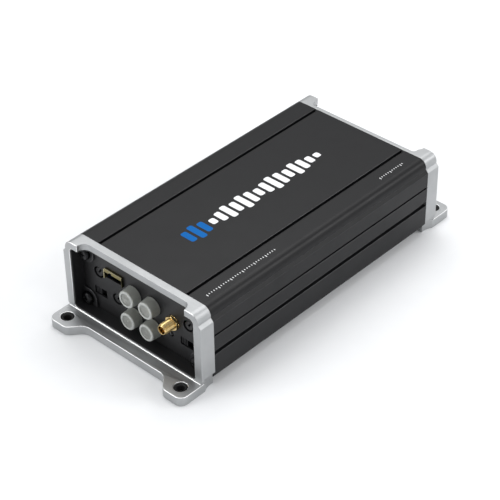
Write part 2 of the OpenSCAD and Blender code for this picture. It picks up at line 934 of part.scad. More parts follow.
module insulator_pads() {
    color([0.75, 0.75, 0.8])
        difference() {
            both_sides() span(44.8, cav_x, -21, 41, 18, 34.6);
            for (s = clamp_screw_places())
                translate([s[0] * 44, s[1], s[2]])
                    rotate([0, s[0] * 90, 0]) cylinder(r = 1.7, h = 2);
        }
}

module clamp_bars() {
    color(steel)
        difference() {
            both_sides() span(37.8, 40.6, -22, 42, clamp_z - 3.5, clamp_z + 3.5);
            for (s = clamp_screw_places())
                translate([s[0] * 36, s[1], s[2]])
                    rotate([0, s[0] * 90, 0]) cylinder(r = 1.7, h = 6);
        }
}

module clamp_screws() {
    color(steel)
        for (s = clamp_screw_places())
            translate([s[0] * 37.8, s[1], s[2]])
                rotate([0, s[0] * 90, 0]) {
                    translate([0, 0, -2]) cylinder(r = 2.7, h = 2);
                    cylinder(r = m3_r, h = 10.4);
                }
}

module filter_capacitors() {
    color([0.12, 0.15, 0.3])
        for (x = [-24.6, -8.2, 8.2, 24.6])
            translate([x, 52, board_top])
                difference() {
                    cylinder(r = 7.5, h = 26);
                    translate([0, 0, 25.6]) cylinder(r = 6.4, h = 1);
                }
}

module toroid_core() {
    color([0.35, 0.36, 0.38])
        translate(toroid_at)
            rotate_extrude()
                translate([toroid_in, -toroid_h / 2]) square([toroid_out - toroid_in, toroid_h]);
}

// Enamelled wire around the core, as separate turns
module toroid_winding() {
    turns = 18;
    high = toroid_h / 2 + wire_d;
    color(copper)
        translate(toroid_at)
            for (i = [0 : turns - 1])
                rotate(i * 360 / turns)
                    difference() {
                        span(toroid_in - wire_d, toroid_out + wire_d, -wire_d / 2, wire_d / 2, -high, high);
                        span(toroid_in - 0.05, toroid_out, -wire_d, wire_d, -toroid_h / 2, toroid_h / 2);
                    }
}

module output_inductors() {
    color([0.25, 0.25, 0.27])
        for (x = [-25, -9, 9, 25])
            translate([x, -24, board_top])
                difference() {
                    translate([-6, -6, 0]) cube([12, 12, 9]);
                    translate([0, 0, 8]) cylinder(r = 3.5, h = 2);
                }
}

module radio_module() {
    color(steel)
        span(14, 31, -62, -44, board_top, board_top + 3);
    color(gold)
        translate([antenna[0], -60.4, board_top + 2.9]) cylinder(r = 1.4, h = radio_top - board_top - 2.9);
}

heatsink_body();
bottom_cover();
cover_screws();
front_bracket();
rear_bracket();
front_panel();
rear_panel();
front_case_screws();
rear_case_screws();
foot_grommets();
rca_block();
rca_shells();
rca_contacts();
rca_cap_1();
rca_cap_2();
rca_cap_3();
rca_cap_4();
antenna_jack();
antenna_washer();
antenna_nut();
antenna_insulator();
antenna_pin();
antenna_lead();
media_port_shell();
media_port_tongue();
trimmer_housings();
trimmer_rotor_1();
trimmer_rotor_2();
trimmer_rotor_3();
switch_frames();
switch_lever_1();
switch_lever_2();
status_led();
power_terminal_block();
power_clamps();
power_screw_1();
power_screw_2();
power_screw_3();
fuse_holder();
fuse_clips();
fuse_1_body();
fuse_1_blades();
fuse_2_body();
fuse_2_blades();
speaker_socket();
speaker_pins();
main_board();
control_board();
board_link();
board_spacers();
board_screws();
mosfets();
insulator_pads();
clamp_bars();
clamp_screws();
filter_capacitors();
toroid_core();
toroid_winding();
output_inductors();
radio_module();
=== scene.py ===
# %% [markdown]
# # A compact car amplifier
# The amplifier is a black extruded heat sink held between two silver cast brackets with mounting
# feet. The recess at one end holds the signal jacks and controls, and the other holds the supply
# terminals, fuses and loudspeaker socket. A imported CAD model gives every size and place. This lesson
# models the pieces that show, gives each its finish, and lets every piece ride on its CAD body.

# %% Load the frame
import json
import math

import bmesh
import bpy
from mathutils import Matrix, Vector


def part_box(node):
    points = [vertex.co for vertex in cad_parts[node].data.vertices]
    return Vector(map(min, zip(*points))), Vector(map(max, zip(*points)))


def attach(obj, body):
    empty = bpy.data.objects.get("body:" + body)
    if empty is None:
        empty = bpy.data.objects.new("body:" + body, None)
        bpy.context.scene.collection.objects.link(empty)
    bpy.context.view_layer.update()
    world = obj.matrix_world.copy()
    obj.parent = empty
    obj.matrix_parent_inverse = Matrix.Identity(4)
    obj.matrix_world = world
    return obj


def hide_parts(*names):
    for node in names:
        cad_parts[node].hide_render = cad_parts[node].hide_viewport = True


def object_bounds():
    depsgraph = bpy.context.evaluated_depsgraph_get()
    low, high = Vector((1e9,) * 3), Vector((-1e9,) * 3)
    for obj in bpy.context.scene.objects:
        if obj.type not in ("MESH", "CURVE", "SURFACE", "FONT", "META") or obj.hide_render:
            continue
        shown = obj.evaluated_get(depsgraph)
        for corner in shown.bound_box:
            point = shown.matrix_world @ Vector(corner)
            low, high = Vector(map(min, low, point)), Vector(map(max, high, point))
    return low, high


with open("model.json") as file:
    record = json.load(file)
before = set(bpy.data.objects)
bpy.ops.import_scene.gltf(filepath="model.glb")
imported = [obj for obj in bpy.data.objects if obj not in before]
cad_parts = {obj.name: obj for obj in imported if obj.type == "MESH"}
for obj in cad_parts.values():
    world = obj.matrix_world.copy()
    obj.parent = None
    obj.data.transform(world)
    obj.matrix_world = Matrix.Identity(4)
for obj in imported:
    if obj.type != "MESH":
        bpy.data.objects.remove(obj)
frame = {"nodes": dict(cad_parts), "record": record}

cad_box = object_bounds()
MM = 0.001
print("CAD box in mm:", [[round(c / MM, 1) for c in corner] for corner in cad_box])

# %% [markdown]
# ## Camera
# The view is a long lens from above the right front corner, so that edges stay nearly parallel.
# A camera could be aimed with a constraint. Here its three axes are worked out from three angles,
# because that keeps the small roll exact and leaves nothing live in the file.

# %% Camera
AZIMUTH = math.radians(43.19)
ELEVATION = math.radians(37.2)
ROLL = math.radians(-0.92)
DISTANCE = 951.8 * MM
SHIFT_RIGHT = -4.23 * MM
SHIFT_UP = 9.94 * MM
FOCAL_LENGTH = 122.2
SENSOR_WIDTH = 36
FARTHEST = 20

back = Vector((
    math.sin(AZIMUTH) * math.cos(ELEVATION),
    -math.cos(AZIMUTH) * math.cos(ELEVATION),
    math.sin(ELEVATION),
))
level = (-back).cross(Vector((0, 0, 1))).normalized()
upright = level.cross(-back)
right = level * math.cos(ROLL) + upright * math.sin(ROLL)
up = upright * math.cos(ROLL) - level * math.sin(ROLL)

camera_data = bpy.data.cameras.new("camera")
camera_data.lens = FOCAL_LENGTH
camera_data.sensor_width = SENSOR_WIDTH
camera_data.clip_end = FARTHEST
camera = bpy.data.objects.new("camera", camera_data)
bpy.context.scene.collection.objects.link(camera)
seat = Matrix.Translation(right * SHIFT_RIGHT + up * SHIFT_UP + back * DISTANCE)
camera.matrix_world = seat @ Matrix((right, up, back)).transposed().to_4x4()
bpy.context.scene.camera = camera
print("camera at", [round(c, 3) for c in camera.location])

# %% [markdown]
# ## Studio
# Black anodising shows only what it reflects, so the light comes from broad soft panels: one over
# the top, one in front of the jack end, one along the right side, and a small one behind that side,
# which brightens the round shoulder. The floor is a plain pale sheet, and the world is a plain light
# grey, which stands for the white walls of the studio.

# %% Floor, world and lights
MIDDLE = Vector((0, 0, 0.03))
WALL_GREY = (0.93, 0.94, 0.95, 1)
WALL_STRENGTH = 0.55
FLOOR_SIZE = 6


def pane(name, place, size, power):
    """A soft light panel at place that faces the amplifier's middle. Metres and watts."""
    light = bpy.data.lights.new(name, "AREA")
    light.shape = "RECTANGLE"
    light.size, light.size_y = size
    light.energy = power
    holder = bpy.data.objects.new(name, light)
    bpy.context.scene.collection.objects.link(holder)
    holder.location = place
    holder.rotation_euler = (MIDDLE - Vector(place)).to_track_quat("-Z", "Y").to_euler()


pane("overhead", (-0.25, 0.35, 1.0), (0.9, 0.9), 7)
pane("front", (-0.62, -1.02, 0.62), (0.9, 0.6), 6)
pane("side", (1.1, 0.1, 0.45), (0.9, 0.5), 3)
pane("corner", (0.72, 0.69, 0.68), (0.35, 0.35), 3)

bpy.context.scene.view_settings.view_transform = "Standard"
world = bpy.data.worlds.new("studio")
world.use_nodes = True
walls = world.node_tree.nodes["Background"]
walls.inputs["Color"].default_value = WALL_GREY
walls.inputs["Strength"].default_value = WALL_STRENGTH
bpy.context.scene.world = world

bpy.ops.mesh.primitive_plane_add(size=FLOOR_SIZE, location=(0, 0, 0))
floor = bpy.context.object
floor.name = "floor"

# %% [markdown]
# ## Materials
# Each finish is named for what it is and how its surface was made. Colours are sRGB hex values,
# turned to linear by one function. `add` places one node with its settings and links. `finish`
# holds what all of them share: a fine grain as bump, and a slow drift of tone and gloss, because
# no made surface is quite even. Grain sizes are in millimetres, on Object coordinates. Real blasting,
# lathe lines and mould texture are finer than the picture can show, so no grain is drawn finer than
# 0.1 mm.

# %% Colour and nodes
def linear(code):
    """sRGB hex to linear red, green, blue and alpha."""
    parts = [int(code[i:i + 2], 16) / 255 for i in (1, 3, 5)]
    return [p / 12.92 if p <= 0.04045 else ((p + 0.055) / 1.055) ** 2.4 for p in parts] + [1]


def add(tree, kind, settings=(), links=()):
    """Adds a node, sets its inputs or properties, and links outputs of other nodes to its inputs."""
    node = tree.nodes.new(kind)
    for key, value in dict(settings).items():
        if isinstance(key, int) or key in node.inputs:
            node.inputs[key].default_value = value
        else:
            setattr(node, key, value)
    for key, source in dict(links).items():
        tree.links.new(source, node.inputs[key])
    return node


# Tone and gloss change over about this many millimetres.
DRIFT_SIZE = 14


def finish(name, light, dark, rough, metal=0.0, grain=0.3, depth=0.02, stretch=(1, 1, 1), **shader):
    """A surface that drifts between two tones and two roughness values, with a fine grain in mm."""
    material = bpy.data.materials.new(name)
    material.use_nodes = True
    tree = material.node_tree
    body = tree.nodes["Principled BSDF"]
    body.inputs["Metallic"].default_value = metal
    for key, value in shader.items():
        body.inputs[key.replace("_", " ")].default_value = value
    place = add(tree, "ShaderNodeTexCoord").outputs["Object"]
    drift = add(tree, "ShaderNodeTexNoise", {"Scale": 1 / (DRIFT_SIZE * MM), "Detail": 3.0},
                {"Vector": place})
    tone = add(tree, "ShaderNodeMix", {"data_type": "RGBA", 6: linear(light), 7: linear(dark)},
               {0: drift.outputs["Fac"]})  # inputs 6 and 7 are the two colours, 0 is the factor
    gloss = add(tree, "ShaderNodeMapRange", {"To Min": rough[0], "To Max": rough[1]},
                {"Value": drift.outputs["Fac"]})
    lay = add(tree, "ShaderNodeMapping", {"Scale": stretch}, {"Vector": place})
    fine = add(tree, "ShaderNodeTexNoise", {"Scale": 1 / (grain * MM), "Detail": 2.0},
               {"Vector": lay.outputs[0]})
    bump = add(tree, "ShaderNodeBump", {"Strength": 0.5, "Distance": depth * MM},
               {"Height": fine.outputs["Fac"]})
    tree.links.new(tone.outputs[2], body.inputs["Base Color"])
    tree.links.new(gloss.outputs["Result"], body.inputs["Roughness"])
    tree.links.new(bump.outputs["Normal"], body.inputs["Normal"])
    return material


# %% [markdown]
# ### Metals
# The heat sink is extruded, blasted and dyed black by anodising, so it has fine lines along its
# length and a satin sheen. The dye covers the metal, so the black is shaded as a dark coat, and only
# its edges, which take a paler finish as a painted highlight, are part metal. The brackets are cast
# aluminium, blasted and clear coated: pale, grainy and soft in their reflections, with near-white
# edges painted on as highlights. Gold and nickel plating are smooth, and tin plate is dull and dark.
# The small steel parts are zinc plated, which is grey and cloudy, or blackened, which is dark and
# glossy. A metal keeps the default IOR.

# %% Metal finishes
anodised = finish("black_anodised_extrusion", "#131315", "#0d0d0f", (0.34, 0.46), grain=0.16,
                  depth=0.006, stretch=(1, 0.08, 1), Specular_IOR_Level=0.25)
# A paler, part-metal finish for the sink's edge bevels: a painted highlight.
anodised_painted_highlight = finish("painted_highlight_anodised_edge", "#2e2e31", "#222224", (0.28, 0.4), metal=0.4, grain=0.2,
                       depth=0.006)
cover_paint = finish("black_painted_sheet", "#151517", "#0f0f11", (0.45, 0.6), grain=0.25, depth=0.012)
cast = finish("blasted_cast_aluminium", "#b9babb", "#a5a7a8", (0.38, 0.52), metal=0.9,
              grain=0.35, depth=0.03)
# A near-white, glossier finish for the brackets' edge bevels: a painted highlight.
cast_painted_highlight = finish("painted_highlight_cast_edge", "#f6f6f6", "#e9eaea", (0.24, 0.34), metal=0.9, grain=0.4,
                   depth=0.015)
gold = finish("gold_plate", "#f0d79c", "#d2b070", (0.07, 0.16), metal=1.0, grain=0.5, depth=0.004)
tinned = finish("tin_plated_sheet", "#8c8462", "#655e42", (0.26, 0.42), metal=1.0, grain=0.4,
                depth=0.008)
nickel = finish("nickel_plate", "#c9c4ad", "#a9a388", (0.2, 0.34), metal=1.0, grain=0.4, depth=0.005)
zinc = finish("zinc_plated_steel", "#b9bdc1", "#9a9ea3", (0.25, 0.42), metal=1.0, grain=0.3, depth=0.01)
blackened = finish("black_oxide_steel", "#1c1c1e", "#101011", (0.16, 0.28), metal=0.7,
                   grain=0.2, depth=0.006)
# The lathe leaves fine lines in brass, drawn long in one direction. Enamel keeps copper wire glossy.
brass = finish("turned_brass", "#c9a75a", "#ae8a3f", (0.25, 0.4), metal=1.0, grain=0.15,
               depth=0.008, stretch=(1, 0.15, 1))
copper = finish("enamelled_copper_wire", "#b0683a", "#8c4b24", (0.22, 0.35), metal=1.0)
print("metals:", [m.name for m in bpy.data.materials])

# %% [markdown]
# ### Plastics, rubber and boards
# Moulded plastic takes the fine texture of its mould, and the rims of the tray's screw pads are
# painted paler as a highlight. The dust caps are soft clear vinyl: they let light through, look grey
# over the dark panel and are paler at their thicker rims. Rubber is nearly matt, and fuses are clear
# green plastic. The boards' green is a lacquer over copper. Screen ink is matt and even.

# %% Plastic and other finishes
# A paler finish for the tray's pad rims: a painted highlight.
moulded_painted_highlight = finish("painted_highlight_black_edge", "#7a7a7d", "#5c5c5f", (0.2, 0.3), depth=0.01)
moulded = finish("textured_black_moulding", "#18181a", "#111113", (0.42, 0.58))
connector = finish("black_connector_plastic", "#161617", "#0f0f10", (0.38, 0.5), grain=0.25, depth=0.01)
control = finish("dark_control_plastic", "#232325", "#19191b", (0.4, 0.52), grain=0.25, depth=0.01)
vinyl = finish("clear_soft_vinyl", "#d9dbd6", "#c8cac5", (0.28, 0.42), grain=0.9, depth=0.03,
               Transmission_Weight=0.7, IOR=1.45)
vinyl_rim = finish("thick_soft_vinyl", "#cfd2cf", "#bfc2bf", (0.3, 0.42), grain=0.9, depth=0.03,
                   Transmission_Weight=0.25, IOR=1.45)
rubber = finish("moulded_black_rubber", "#0f0f0f", "#0a0a0a", (0.6, 0.8), grain=0.2, depth=0.02)
ceramic = finish("white_insulator", "#e9e9e4", "#d8d8d0", (0.35, 0.5), grain=0.3, depth=0.01)
jacket = finish("black_lead_jacket", "#141414", "#0e0e0e", (0.25, 0.4), grain=0.3, depth=0.01)
trimmer_case = finish("blue_trimmer_case", "#1c3f86", "#163068", (0.3, 0.42), grain=0.3, depth=0.01)
# A lens has a polished face. The fuses' plastic lets about half the light through.
lens = finish("smoked_lens", "#0c0d0f", "#08090a", (0.08, 0.16), grain=0.5, depth=0.002)
fuse_plastic = finish("clear_green_plastic", "#1e9a3c", "#14802d", (0.12, 0.22), grain=0.6, depth=0.004,
                      Transmission_Weight=0.5, IOR=1.5)
lacquer = finish("green_board_lacquer", "#0e5a33", "#0a4426", (0.2, 0.35), grain=0.4, depth=0.012)
chip = finish("moulded_epoxy", "#1b1b1c", "#121213", (0.5, 0.65), grain=0.2, depth=0.015)
sleeve = finish("shrunk_film_sleeve", "#1b2336", "#131a2b", (0.15, 0.28), grain=0.6, depth=0.01)
ferrite = finish("sintered_ferrite", "#3f4042", "#2f3032", (0.6, 0.75), grain=0.15, depth=0.03)
white_ink = finish("white_screen_ink", "#f2f3f4", "#e4e6e8", (0.5, 0.62), grain=0.12, depth=0.01)
blue_ink = finish("blue_screen_ink", "#0065b2", "#005aa2", (0.5, 0.62), grain=0.12, depth=0.01,
                  Specular_IOR_Level=0.12)
paper = finish("pale_studio_paper", "#f4f5f6", "#f0f1f3", (0.8, 0.95), grain=1.5, depth=0.02)
floor.data.materials.append(paper)

FINISH_OF_SLOT = {
    "anodised_black": anodised, "painted_black": cover_paint, "cast_silver": cast,
    "moulded_black": moulded, "connector_black": connector, "control_black": control,
    "blackened_steel": blackened, "zinc_steel": zinc, "black_rubber": rubber,
    "nickel_plate": nickel, "gold_plate": gold, "terminal_brass": brass, "cap_grey": vinyl,
    "insulator_white": ceramic, "lead_jacket": jacket, "trimmer_blue": trimmer_case,
    "led_clear": lens, "fuse_green": fuse_plastic, "board_green": lacquer, "chip_black": chip,
    "sleeve_dark": sleeve, "ferrite_grey": ferrite, "copper_wire": copper,
}
print(len(FINISH_OF_SLOT), "slots have a finish")

# %% [markdown]
# ## Working by hand in code
# In Blender's window one selects, then acts. In a script the selection is just as real: an operator
# works on whatever is selected, so each helper first deselects everything. Faces, edges and points
# are picked by their place or direction, never by number.

# %% Selecting and placing
# Points closer than this count as one point.
WELD = 0.002 * MM


def clear_selection():
    """Goes back to object mode with nothing selected."""
    if bpy.context.object and bpy.context.object.mode != "OBJECT":
        bpy.ops.object.mode_set(mode="OBJECT")
    bpy.ops.object.select_all(action="DESELECT")


def only(piece):
    """Selects one piece and makes it the active one."""
    clear_selection()
    piece.select_set(True)
    bpy.context.view_layer.objects.active = piece


def edit(piece, kind="FACE"):
    """Enters edit mode on a piece with none of its faces, edges or verts selected."""
    only(piece)
    bpy.ops.object.mode_set(mode="EDIT")
    bpy.ops.mesh.select_mode(type=kind)
    bpy.ops.mesh.select_all(action="DESELECT")


def pick(piece, kind, test):
    """Selects the faces, edges or verts of the piece in edit mode that pass the test."""
    mesh = bmesh.from_edit_mesh(piece.data)
    for part in getattr(mesh, kind):
        if test(part):
            part.select_set(True)
    mesh.select_flush_mode()
    bmesh.update_edit_mesh(piece.data)


def upright_edge(edge):
    """Whether an edge of a block runs up and down."""
    return abs(edge.verts[0].co.z - edge.verts[1].co.z) > WELD


def leave_edit():
    bpy.ops.object.mode_set(mode="OBJECT")


def settle(piece):
    """Puts a piece's place and turn into its mesh, and its object at the origin."""
    only(piece)
    bpy.ops.object.transform_apply(location=True, rotation=True, scale=True)
    return piece


# %% Starting shapes
TURN_TO = {"-Y": (math.pi / 2, 0, 0), "+Y": (-math.pi / 2, 0, 0), "+Z": (0, 0, 0)}


def block(name, low, high):
    """A box between two corners."""
    low, high = Vector(low), Vector(high)
    clear_selection()
    bpy.ops.mesh.primitive_cube_add(size=1, location=(low + high) / 2, scale=high - low)
    piece = bpy.context.object
    piece.name = name
    return settle(piece)


def pointing(towards):
    """The direction that a shape standing on +Z has after its turn."""
    return Matrix.Rotation(TURN_TO[towards][0], 3, "X") @ Vector((0, 0, 1))


def rod(name, base, towards, radius, length, sides=48):
    """A round or many-sided bar that stands on base and points one way."""
    clear_selection()
    middle = Vector(base) + pointing(towards) * length / 2
    bpy.ops.mesh.primitive_cylinder_add(
        vertices=sides, radius=radius, depth=length, location=middle, rotation=TURN_TO[towards])
    piece = bpy.context.object
    piece.name = name
    return settle(piece)


def arc(radius_at, height_at, size, start, stop, steps=6):
    """Points of a round stretch of an outline, as (radius, height) in mm. Angles in degrees."""
    angles = [math.radians(start + (stop - start) * i / steps) for i in range(steps + 1)]
    return [(radius_at + size * math.cos(a), height_at + size * math.sin(a)) for a in angles]


def turned(name, outline, base, towards, steps=64):
    """Spins an outline of (radius, height) points in mm about an axis that stands on base."""
    clear_selection()
    bpy.ops.mesh.primitive_plane_add(size=MM, location=(0, 0, 0))
    piece = bpy.context.object
    piece.name = name
    edit(piece, "VERT")
    bpy.ops.mesh.select_all(action="SELECT")
    bpy.ops.mesh.merge(type="CENTER")
    here = Vector(outline[0]).to_3d().xzy * MM
    bpy.ops.transform.translate(value=here)
    for point in outline[1:]:
        there = Vector(point).to_3d().xzy * MM
        bpy.ops.mesh.extrude_region_move(TRANSFORM_OT_translate={"value": there - here})
        here = there
    bpy.ops.mesh.select_all(action="SELECT")
    bpy.ops.mesh.spin(steps=steps, angle=math.tau, center=(0, 0, 0), axis=(0, 0, 1))
    bpy.ops.mesh.select_all(action="SELECT")
    bpy.ops.mesh.remove_doubles(threshold=WELD)
    bpy.ops.mesh.normals_make_consistent(inside=False)
    leave_edit()
    piece.rotation_euler = TURN_TO[towards]
    piece.location = base
    return settle(piece)


# %% [markdown]
# ### Finishing moves
# Real edges are never sharp. A narrow bevel catches the light along each edge, and weighted normals
# keep the broad faces flat next to it. Holes are cut with a Boolean, which is then applied.

# %% Cutting, easing and copying
NEARLY_FLAT = math.radians(0.5)


def apply_all(piece):
    """Applies the piece's modifiers in order."""
    only(piece)
    for modifier in list(piece.modifiers):
        bpy.ops.object.modifier_apply(modifier=modifier.name)


def cut(piece, cutter, operation="DIFFERENCE"):
    """Cuts one solid with another, which is used up."""
    boolean = piece.modifiers.new("cut", "BOOLEAN")
    boolean.operation = operation
    boolean.solver = "EXACT"
    boolean.object = cutter
    apply_all(piece)
    bpy.data.objects.remove(cutter)
    return piece


def ease(piece, width, segments=2, angle=32, edge=None):
    """Rounds edges sharper than an angle by a width in mm, and smooths the curved faces. The rounded
    strips may take an edge finish, in a second material slot, which paints a highlight along them."""
    if edge:
        piece.data.materials.clear()
        piece.data.materials.append(None)
        piece.data.materials.append(edge)
    if width:
        bevel = piece.modifiers.new("eased_edges", "BEVEL")
        bevel.width = width * MM
        bevel.segments = segments
        bevel.limit_method = "ANGLE"
        bevel.angle_limit = math.radians(angle)
        bevel.use_clamp_overlap = False
        bevel.material = 1 if edge else -1
        apply_all(piece)
    only(piece)
    bpy.ops.object.shade_smooth_by_angle(angle=math.radians(angle))
    weighted = piece.modifiers.new("flat_faces", "WEIGHTED_NORMAL")
    weighted.keep_sharp = True
    apply_all(piece)
    return piece


def clean_copy(node, name, whole_faces=True):
    """A CAD node's skin as one mesh, with each flat face in one piece unless that is turned off."""
    clear_selection()
    piece = bpy.data.objects.new(name, frame["nodes"][node].data.copy())
    bpy.context.scene.collection.objects.link(piece)
    only(piece)
    bpy.ops.mesh.customdata_custom_splitnormals_clear()
    edit(piece, "VERT")
    bpy.ops.mesh.select_all(action="SELECT")
    bpy.ops.mesh.remove_doubles(threshold=WELD)
    if whole_faces:
        bpy.ops.mesh.dissolve_limited(angle_limit=NEARLY_FLAT)
    leave_edit()
    return piece


def eased_copy(node, name, width, segments=2, edge=None):
    """A clean copy of a CAD node with eased edges."""
    return ease(clean_copy(node, name), width, segments, edge=edge)


def copied(piece, name, shift):
    """A copy with a mesh of its own, moved by shift."""
    only(piece)
    bpy.ops.object.duplicate(linked=False)
    twin = bpy.context.object
    twin.name = name
    twin.location = shift
    return settle(twin)


def joined(name, pieces):
    """Several pieces as one object."""
    clear_selection()
    for piece in pieces:
        piece.select_set(True)
    bpy.context.view_layer.objects.active = pieces[0]
    if len(pieces) > 1:
        bpy.ops.object.join()
    pieces[0].name = name
    return pieces[0]


def mount(piece, body, slot, *nodes, material=None):
    """Gives a finished piece its material and its body, and hides the CAD nodes that it stands for."""
    if len(piece.data.materials) < 2:
        piece.data.materials.clear()
        piece.data.materials.append(None)
    piece.data.materials[0] = material or FINISH_OF_SLOT[slot]
    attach(piece, body)
    if nodes:
        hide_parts(*nodes)
    print(f"{piece.name}: {len(piece.data.polygons)} faces on {body}")
    return piece


def centre(node):
    """The middle of a CAD node's box."""
    low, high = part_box(node)
    return (low + high) / 2


def back_of(node):
    """The middle of the side of a CAD node's box that faces +Y."""
    low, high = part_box(node)
    return Vector(((low.x + high.x) / 2, high.y, (low.z + high.z) / 2))


# %% [markdown]
# ## Heat sink
# An extrusion is one outline pushed along its length, so its CAD section is already right: round
# shoulders, two grooves in the top and two in each side. What the eye misses on the CAD skin is its
# edges. A clean copy gets a narrow bevel along every groove, and the bevel takes a paler, part-metal
# finish, which is a painted highlight along each edge.

# %% Heat sink and bottom cover
# The groove bevels take the paler edge finish, a painted highlight along each edge.
sink = eased_copy("heatsink_body", "heat_sink", 0.12, 1, edge=anodised_painted_highlight)
mount(sink, "chassis", "anodised_black", "heatsink_body")
mount(eased_copy("bottom_cover", "bottom_plate", 0.2), "chassis", "painted_black", "bottom_cover")
mount(eased_copy("cover_screws", "bottom_plate_screws", 0.08, 1), "chassis", "zinc_steel",
      "cover_screws")

# %% [markdown]
# ## End brackets
# Each bracket is one casting: a frame round the recess, with a set-back top bar and two ears with
# holes for the mounting screws. A casting's edges are rounder than a machined part's, so these get
# a wider bevel in three steps. The bevels on the sill, the mouth of the recess and the rims of the
# ears take a near-white finish that paints their highlights, and the rest keeps the blasted grain.
#
# The rear bracket's top bar is thinner than the front one's. A block with two rounded corners is cut
# away from it before its edges are eased.

# %% Brackets
POST_X = 46 * MM
SILL_X = 45 * MM
FRAME_FRONT = 96.7 * MM
FOOT_TOP = 5.7 * MM
NEAR = 0.3 * MM

CUT_X = 38 * MM
CUT_Y = 89.6 * MM
CUT_FOOT = 44 * MM
CUT_TOP = 51 * MM
CUT_CORNER = 2.4 * MM
CAST_EDGE = 0.36


def takes_painted_highlight(c):
    """Whether a point on an eased edge lies on the sill, the recess's mouth or an ear's rim, where a
    highlight is painted.
    """
    in_face = abs(abs(c.y) - FRAME_FRONT) < 2 * NEAR
    sill = in_face and abs(c.x) < SILL_X and c.z > FOOT_TOP - NEAR
    mouth = in_face and abs(c.x) < POST_X and c.z > FOOT_TOP + 10 * NEAR
    rim = abs(c.y) > FRAME_FRONT + 3 * NEAR and c.z > FOOT_TOP - 3 * NEAR
    return sill or mouth or rim


for end in ("front", "rear"):
    node = f"{end}_bracket"
    casting = clean_copy(node, f"{end}_end_bracket", whole_faces=False)
    if end == "rear":
        tool = block("bar_cut", (-CUT_X, CUT_Y, CUT_FOOT), (CUT_X, FRAME_FRONT, CUT_TOP))
        edit(tool, "EDGE")
        pick(tool, "edges", lambda e: upright_edge(e) and e.verts[0].co.y < CUT_Y + NEAR)
        bpy.ops.mesh.bevel(offset=CUT_CORNER, segments=6, affect="EDGES")
        leave_edit()
        cut(casting, tool)
    ease(casting, CAST_EDGE, 3, edge=cast_painted_highlight)
    # Only the sill, mouth and ear-rim bevels keep the near-white painted highlight; every other face
    # goes back to the cast finish.
    for face in casting.data.polygons:
        if not takes_painted_highlight(face.center):
            face.material_index = 0
    mount(casting, "chassis", "cast_silver", node)

# %% [markdown]
# ## End panels
# A black moulded tray lines each bracket, with openings for what comes through it. The edges
# of the openings are crisp, as a mould leaves them. Its flat faces have many holes, and one face
# with holes can close over them, so the CAD's triangles stay as they are. Only the raised pads under
# the screws have their rims painted paler, as a painted highlight.

# %% Panels
RIM_BACK = 88.9 * MM
RIM_FRONT = 90.2 * MM

for end in ("front", "rear"):
    node = f"{end}_panel"
    tray = ease(clean_copy(node, f"{end}_tray", whole_faces=False), 0.1, 1, edge=moulded_painted_highlight)
    # Only the bevels on the pad rims keep the paler finish, a painted highlight; the rest go back to
    # plain moulding.
    for face in tray.data.polygons:
        if not RIM_BACK < abs(face.center.y) < RIM_FRONT:
            face.material_index = 0
    mount(tray, "chassis", "moulded_black", node)

# %% [markdown]
# ## Case screws
# Four pan-head screws hold each end. The head is a turned shape, so half its outline is drawn from
# the shank to the top and spun. The cross recess is two thin blocks cut away. One screw is made and
# copied to the others' places, four to a group.

# %% Screw maker
HEAD_R = 3.8
HEAD_H = 2.5
HEAD_CORNER = HEAD_H * 0.55
SHANK_R = 1.7
RECESS_R = HEAD_R * 0.5
RECESS_W = 0.76
RECESS_DEEP = 1.5


def pan_screw(base, towards, shank):
    """A pan-head screw whose head stands on base, with a cross recess and a shank in mm."""
    outline = [(0, -shank), (SHANK_R - 0.3, -shank), (SHANK_R, -shank + 0.4), (SHANK_R, 0)]
    outline += [(HEAD_R - 0.15, 0)]
    outline += arc(HEAD_R - HEAD_CORNER, HEAD_H - HEAD_CORNER, HEAD_CORNER, 0, 75, 7)
    outline += [(0, HEAD_H)]
    screw = turned("screw", outline, base, towards, 48)
    for turn in (0, math.pi / 2):
        arm = block("arm", Vector((-RECESS_R, -RECESS_W / 2, -RECESS_DEEP)) * MM,
                    Vector((RECESS_R, RECESS_W / 2, 1)) * MM)
        arm.rotation_euler = (0, 0, turn)
        settle(arm)
        arm.rotation_euler = TURN_TO[towards]
        arm.location = base + pointing(towards) * HEAD_H * MM
        cut(screw, settle(arm))
    return ease(screw, 0.08, 1)


# %% Case screws
for end, towards in (("front", "-Y"), ("rear", "+Y")):
    node = f"{end}_case_screws"
    low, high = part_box(node)
    face = low.y + HEAD_H * MM if end == "front" else high.y - HEAD_H * MM
    reach = HEAD_R * MM
    first = Vector((low.x + reach, face, low.z + reach))
    across = Vector((high.x - low.x - 2 * reach, 0, 0))
    rise = Vector((0, 0, high.z - low.z - 2 * reach))
    shank = (high.y - low.y) / MM - HEAD_H
    screw = pan_screw(first, towards, shank)
    group = [screw] + [copied(screw, "screw", s) for s in (across, rise, across + rise)]
    mount(joined(f"{end}_pan_screws", group), "chassis", "blackened_steel", node)

# %% [markdown]
# ## Foot grommets
# Rubber bushes sit in the feet, so that the screws don't carry vibration. Each is a turned ring with
# a rounded lip, spun once and copied to the other three feet.

